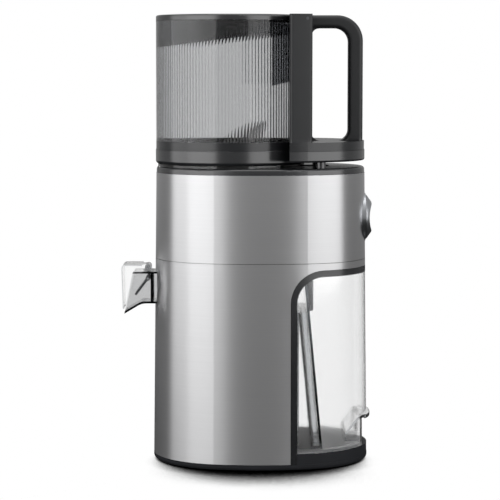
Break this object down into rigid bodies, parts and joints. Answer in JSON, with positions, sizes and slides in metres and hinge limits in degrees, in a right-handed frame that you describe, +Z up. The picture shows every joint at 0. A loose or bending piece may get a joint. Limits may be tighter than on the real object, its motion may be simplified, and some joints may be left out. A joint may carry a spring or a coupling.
{
  "type": "slow juicer",
  "caption": "Tall oval slow juicer with a ribbed hopper and loop handle, hinged lid, geared auger in a lift-out drum, front juice spout, rear dial and clear slide-out pulp bin.",
  "frame": {"origin": "middle of the footprint's bounding box, on the plane that the feet stand on", "axes": "+Z up; the juice spout faces -X, the handle, the dial and the pulp bin face +X"},
  "size_m": [0.256, 0.1696, 0.455],
  "materials": {
    "black_gloss": "moulded black plastic with a fine satin gloss",
    "black_satin": "moulded black plastic, satin",
    "brushed_shell": "satin brushed metal sheet",
    "smoked_clear": "ribbed smoky clear copolyester",
    "smoked_dark": "dark smoky clear plastic",
    "clear_plastic": "clear moulded copolyester",
    "grey_silicone": "grey silicone rubber",
    "black_rubber": "black rubber",
    "white_nylon": "natural nylon gear plastic",
    "grey_ultem": "dark high-strength screw plastic",
    "bright_steel": "turned steel",
    "dial_metal": "satin metallic dial",
    "circuit_green": "coated circuit board",
    "sintered_bronze": "sintered bronze",
    "steel_can": "painted motor can",
    "die_cast": "die-cast aluminium"
  },
  "bodies": {
    "base": {"base_pan": "black_satin", "rubber_feet": "black_rubber", "motor_mounts": "black_rubber", "lower_shell": "brushed_shell", "upper_shell": "brushed_shell", "seam_band": "black_satin", "bay_liner": "black_gloss", "control_board": "circuit_green", "top_deck": "black_gloss", "gear_case": "die_cast", "gear_cover": "die_cast", "cover_screws": "bright_steel", "output_bearing": "bright_steel", "counter_bushes": "sintered_bronze", "motor_can": "steel_can", "interlock_sensor": "black_satin", "dial_bezel": "black_satin", "rotary_switch": "black_satin", "cord_grommet": "black_rubber"},
    "drum": {"drum": "smoked_dark", "shaft_seal": "grey_silicone", "strainer_cage": "smoked_dark"},
    "auger": {"auger": "grey_ultem", "drive_bush": "bright_steel", "cutting_wing": "grey_ultem"},
    "output": {"output_gear": "white_nylon", "output_shaft": "bright_steel"},
    "countershaft": {"counter_gear": "white_nylon", "counter_pinion": "bright_steel", "counter_shaft": "bright_steel"},
    "rotor": {"motor_pinion": "bright_steel", "motor_shaft": "bright_steel"},
    "hopper": {"hopper_base": "black_gloss", "hopper_frame": "black_gloss", "hopper_tank": "smoked_clear", "lid_hinge_pins": "bright_steel", "interlock_magnet": "bright_steel"},
    "lid": {"lid": "black_gloss", "lid_guard": "smoked_dark"},
    "spout": {"juice_spout": "clear_plastic", "spout_gasket": "grey_silicone", "flap_seat": "grey_silicone", "cap_pin": "bright_steel"},
    "drip_flap": {"drip_flap": "grey_silicone", "flap_pin": "bright_steel"},
    "spout_cap": {"spout_cap": "clear_plastic"},
    "dial": {"dial_knob": "dial_metal", "dial_shaft": "bright_steel"},
    "pulp_bin": {"pulp_bin": "clear_plastic", "bin_tab": "smoked_dark"}
  },
  "joints": [
    {"name": "lid_hinge", "type": "hinge", "parent": "hopper", "child": "lid", "pos_m": [0.0597, 0, 0.4506], "axis": [0, 1, 0], "range_deg": [0, 100]},
    {"name": "hopper_lift", "type": "slide", "parent": "drum", "child": "hopper", "axis": [0, 0, 1], "range_m": [0, 0.15]},
    {"name": "drum_lift", "type": "slide", "parent": "base", "child": "drum", "axis": [0, 0, 1], "range_m": [0, 0.16]},
    {"name": "auger_spin", "type": "hinge", "parent": "drum", "child": "auger", "pos_m": [-0.0163, 0, 0], "axis": [0, 0, 1], "continuous": true},
    {"name": "output_spin", "type": "hinge", "parent": "base", "child": "output", "pos_m": [-0.0163, 0, 0], "axis": [0, 0, 1], "continuous": true},
    {"name": "counter_spin", "type": "hinge", "parent": "base", "child": "countershaft", "pos_m": [-0.0163, 0.036, 0], "axis": [0, 0, 1], "continuous": true},
    {"name": "rotor_spin", "type": "hinge", "parent": "base", "child": "rotor", "pos_m": [-0.0163, 0, 0], "axis": [0, 0, 1], "continuous": true},
    {"name": "spout_pull", "type": "slide", "parent": "base", "child": "spout", "axis": [-1, 0, 0], "range_m": [0, 0.05]},
    {"name": "drip_flap_swing", "type": "hinge", "parent": "spout", "child": "drip_flap", "pos_m": [-0.1015, 0, 0.1872], "axis": [0, 1, 0], "range_deg": [-37, 0]},
    {"name": "spout_cap_lift", "type": "hinge", "parent": "spout", "child": "spout_cap", "pos_m": [-0.1017, 0, 0.1984], "axis": [0, 1, 0], "range_deg": [0, 50]},
    {"name": "dial_turn", "type": "hinge", "parent": "base", "child": "dial", "pos_m": [0.1137, 0, 0.2494], "axis": [1, 0, 0], "range_deg": [-60, 60]},
    {"name": "bin_slide", "type": "slide", "parent": "base", "child": "pulp_bin", "axis": [1, 0, 0], "range_m": [0, 0.16]}
  ],
  "couplings": [
    {"joint": "output_spin", "follows": "auger_spin", "ratio": 1},
    {"joint": "counter_spin", "follows": "auger_spin", "ratio": -4.1429},
    {"joint": "rotor_spin", "follows": "auger_spin", "ratio": 17.163}
  ]
}
